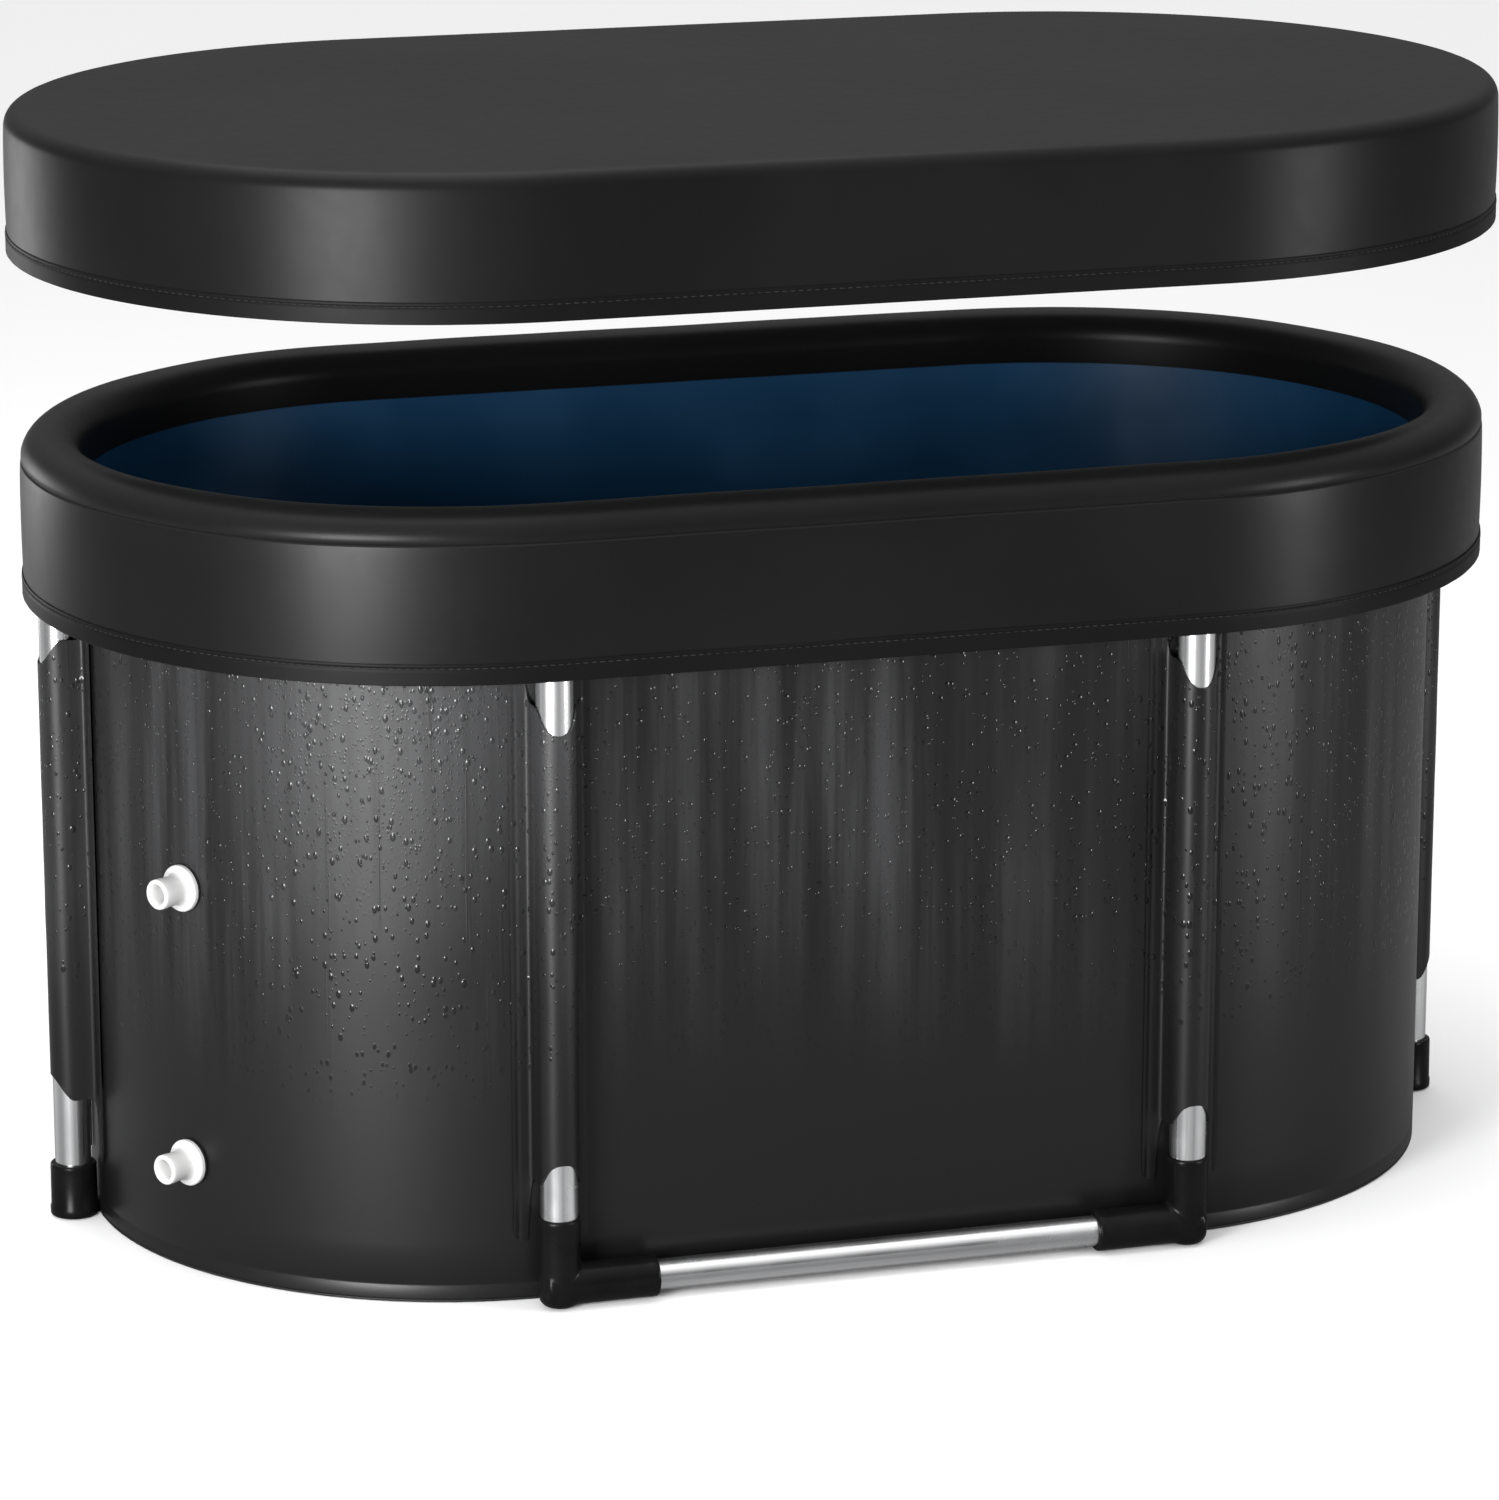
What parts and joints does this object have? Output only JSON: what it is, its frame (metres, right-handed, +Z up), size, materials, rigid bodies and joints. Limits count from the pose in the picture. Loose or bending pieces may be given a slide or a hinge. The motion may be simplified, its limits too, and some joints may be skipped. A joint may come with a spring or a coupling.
{
  "type": "cold plunge tub",
  "caption": "Folding oval cold plunge tub: coated fabric shell hung in a steel tube frame, padded rim, hose spouts, and a soft fitted lid held above the rim.",
  "frame": {"origin": "middle of the footprint on the floor", "axes": "+X along the tub away from the spouts' end, +Y towards the back, +Z up"},
  "size_m": [1.244, 0.714, 0.919],
  "materials": {
    "lid_fabric": "matt coated cloth",
    "collar_fabric": "matt coated cloth",
    "wall_sheet": "satin coated sheet",
    "liner_sheet": "satin coated sheet",
    "foam": "closed-cell foam",
    "steel": "polished tube",
    "joint_plastic": "moulded, fine satin",
    "port_plastic": "moulded, white",
    "gasket_rubber": "matt"
  },
  "bodies": {
    "tub": {"rim_collar": "collar_fabric", "collar_hem": "collar_fabric", "outer_wall": "wall_sheet", "wall_foam": "foam", "inner_liner": "liner_sheet", "base_sheet": "wall_sheet", "floor_pad": "foam", "floor_liner": "liner_sheet", "leg_sleeve_front_left": "wall_sheet", "leg_front_left": "steel", "frame_tee_front_left": "joint_plastic", "foot_elbow_front_left": "joint_plastic", "leg_sleeve_front_right": "wall_sheet", "leg_front_right": "steel", "frame_tee_front_right": "joint_plastic", "foot_elbow_front_right": "joint_plastic", "leg_sleeve_right_end": "wall_sheet", "leg_right_end": "steel", "frame_tee_right_end": "joint_plastic", "foot_cap_right_end": "joint_plastic", "leg_sleeve_back_right": "wall_sheet", "leg_back_right": "steel", "frame_tee_back_right": "joint_plastic", "foot_elbow_back_right": "joint_plastic", "leg_sleeve_back_left": "wall_sheet", "leg_back_left": "steel", "frame_tee_back_left": "joint_plastic", "foot_elbow_back_left": "joint_plastic", "leg_sleeve_left_end": "wall_sheet", "leg_left_end": "steel", "frame_tee_left_end": "joint_plastic", "foot_cap_left_end": "joint_plastic", "top_rail_front": "steel", "top_rail_front_right_to_right_end": "steel", "top_rail_right_end_to_back_right": "steel", "top_rail_back": "steel", "top_rail_back_left_to_left_end": "steel", "top_rail_left_end_to_front_left": "steel", "bottom_rail_front": "steel", "bottom_rail_back": "steel", "upper_spout": "port_plastic", "upper_gasket": "gasket_rubber", "upper_lock_nut": "port_plastic", "drain_spout": "port_plastic", "drain_gasket": "gasket_rubber", "drain_lock_nut": "port_plastic"},
    "lid": {"lid_cover": "lid_fabric", "lid_insulation_pad": "foam", "lid_hem": "lid_fabric"},
    "button_front_left": {"snap_button_front_left": "steel"},
    "button_front_right": {"snap_button_front_right": "steel"},
    "button_right_end": {"snap_button_right_end": "steel"},
    "button_back_right": {"snap_button_back_right": "steel"},
    "button_back_left": {"snap_button_back_left": "steel"},
    "button_left_end": {"snap_button_left_end": "steel"}
  },
  "joints": [
    {"name": "lid_lift", "type": "slide", "parent": "tub", "child": "lid", "axis": [0, 0, 1], "range_m": [-0.248, 0.25]},
    {"name": "button_press_front_left", "type": "slide", "parent": "tub", "child": "button_front_left", "axis": [0, -1, 0], "range_m": [0, 0.0018], "stiffness_N_per_m": 2000},
    {"name": "button_press_front_right", "type": "slide", "parent": "tub", "child": "button_front_right", "axis": [0, -1, 0], "range_m": [0, 0.0018], "stiffness_N_per_m": 2000},
    {"name": "button_press_right_end", "type": "slide", "parent": "tub", "child": "button_right_end", "axis": [1, 0, 0], "range_m": [0, 0.0018], "stiffness_N_per_m": 2000},
    {"name": "button_press_back_right", "type": "slide", "parent": "tub", "child": "button_back_right", "axis": [0, 1, 0], "range_m": [0, 0.0018], "stiffness_N_per_m": 2000},
    {"name": "button_press_back_left", "type": "slide", "parent": "tub", "child": "button_back_left", "axis": [0, 1, 0], "range_m": [0, 0.0018], "stiffness_N_per_m": 2000},
    {"name": "button_press_left_end", "type": "slide", "parent": "tub", "child": "button_left_end", "axis": [-1, 0, 0], "range_m": [0, 0.0018], "stiffness_N_per_m": 2000}
  ]
}
